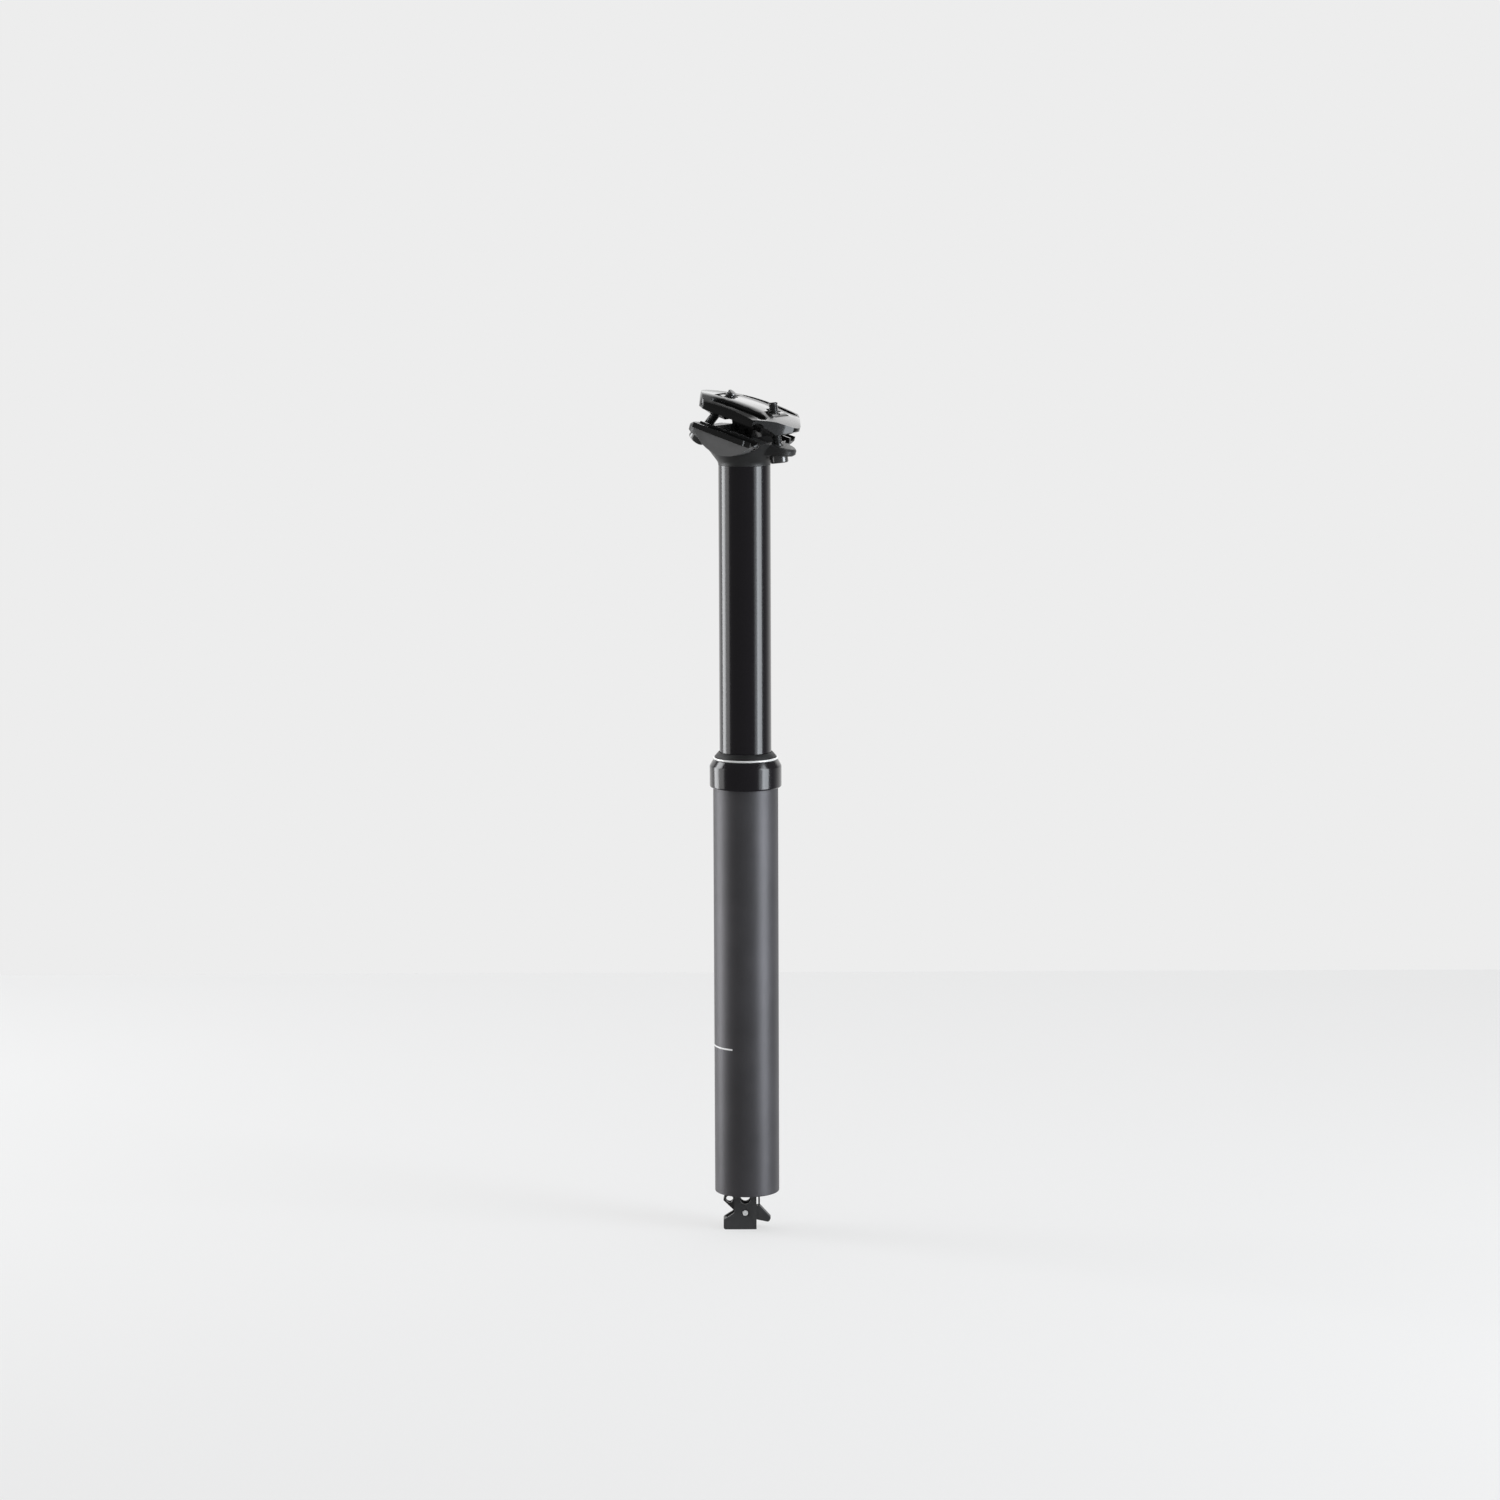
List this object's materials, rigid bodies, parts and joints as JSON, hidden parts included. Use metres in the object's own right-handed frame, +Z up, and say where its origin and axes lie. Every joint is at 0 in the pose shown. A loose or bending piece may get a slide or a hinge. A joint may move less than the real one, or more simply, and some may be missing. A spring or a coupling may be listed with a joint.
{
  "type": "dropper seatpost",
  "caption": "Height-adjustable bicycle seatpost: sliding stanchion with a gas spring inside, two-bolt saddle clamp on top, wiper collar, and a cable-pulled release lever under the tube.",
  "frame": {"origin": "on the post's axis at the outer tube's lower end", "axes": "+Z up along the post, +X to the saddle's nose, +Y to the rider's left"},
  "size_m": [0.0649, 0.0528, 0.4556],
  "materials": {
    "tube_satin": "satin dark anodised",
    "gloss_black": "gloss black anodised",
    "head_satin": "satin dark anodised",
    "rubber": "matt",
    "bright_ring": "bright",
    "bushing": "matt",
    "dark_alloy": "satin",
    "gear_black": "satin black",
    "black_steel": "black oxide",
    "bright_steel": "ground",
    "bare_alloy": "turned",
    "brass": "turned"
  },
  "bodies": {
    "outer_post": {"outer_tube": "tube_satin", "seal_collar": "gloss_black", "wiper_seal": "rubber", "wiper_ring": "bright_ring", "collar_o_ring": "rubber", "upper_bushing": "bushing", "bottom_cap": "dark_alloy", "actuator_bracket": "gear_black", "bracket_screws": "black_steel", "pivot_rivet": "bright_steel", "piston_rod": "bright_steel", "rod_nut": "bright_steel", "piston": "bare_alloy", "piston_seal": "rubber", "plunger_spring": "bright_steel"},
    "upper_post": {"stanchion": "gloss_black", "saddle_head": "head_satin", "guide_keys": "brass", "lower_bushing": "bushing", "bushing_clip": "bright_steel", "top_out_spacer": "bushing", "gas_cylinder": "bare_alloy", "cylinder_gland": "dark_alloy", "rod_seal": "rubber", "cylinder_cap": "dark_alloy", "cylinder_retainer": "dark_alloy", "front_bolt": "black_steel", "rear_bolt": "black_steel", "bolt_washers": "black_steel"},
    "floating_piston": {"floating_piston": "bare_alloy", "floating_piston_seal": "rubber"},
    "saddle_clamp": {"lower_cradle": "head_satin", "upper_clamp": "gloss_black"},
    "front_nut": {"front_barrel_nut": "black_steel"},
    "rear_nut": {"rear_barrel_nut": "black_steel"},
    "release_lever": {"release_lever": "gear_black"},
    "release_plunger": {"release_plunger": "bright_steel", "release_rod": "bright_steel", "valve_poppet": "bright_steel"}
  },
  "joints": [
    {"name": "post_drop", "type": "slide", "parent": "outer_post", "child": "upper_post", "axis": [0, 0, 1], "range_m": [-0.15, 0], "stiffness_N_per_m": 500, "springref_m": 0.4},
    {"name": "gas_floater", "type": "slide", "parent": "upper_post", "child": "floating_piston", "axis": [0, 0, 1], "range_m": [0, 0.0335]},
    {"name": "saddle_tilt", "type": "hinge", "parent": "upper_post", "child": "saddle_clamp", "pos_m": [0.00299, 0, 0.42167], "axis": [0, 1, 0], "range_deg": [-5, 5]},
    {"name": "front_nut_turn", "type": "hinge", "parent": "saddle_clamp", "child": "front_nut", "pos_m": [0.01833, 0, 0.41918], "axis": [0, 1, 0], "range_deg": [-5.1, 5.1]},
    {"name": "rear_nut_turn", "type": "hinge", "parent": "saddle_clamp", "child": "rear_nut", "pos_m": [-0.01112, 0, 0.42818], "axis": [0, 1, 0], "range_deg": [-5.1, 5.1]},
    {"name": "lever_pull", "type": "hinge", "parent": "outer_post", "child": "release_lever", "pos_m": [-0.00097, -0.00052, -0.0119], "axis": [0.4695, -0.8829, 0], "range_deg": [0, 17]},
    {"name": "plunger_lift", "type": "slide", "parent": "outer_post", "child": "release_plunger", "axis": [0, 0, 1], "range_m": [0, 0.00188], "stiffness_N_per_m": 80, "springref_m": -0.002, "deforming": ["plunger_spring"]}
  ],
  "couplings": [
    {"joint": "gas_floater", "follows": "post_drop", "ratio": -0.22145},
    {"joint": "front_nut_turn", "follows": "saddle_tilt", "ratio": -1},
    {"joint": "rear_nut_turn", "follows": "saddle_tilt", "ratio": -1},
    {"joint": "lever_pull", "follows": "plunger_lift", "rad_per_m": 147.93}
  ]
}
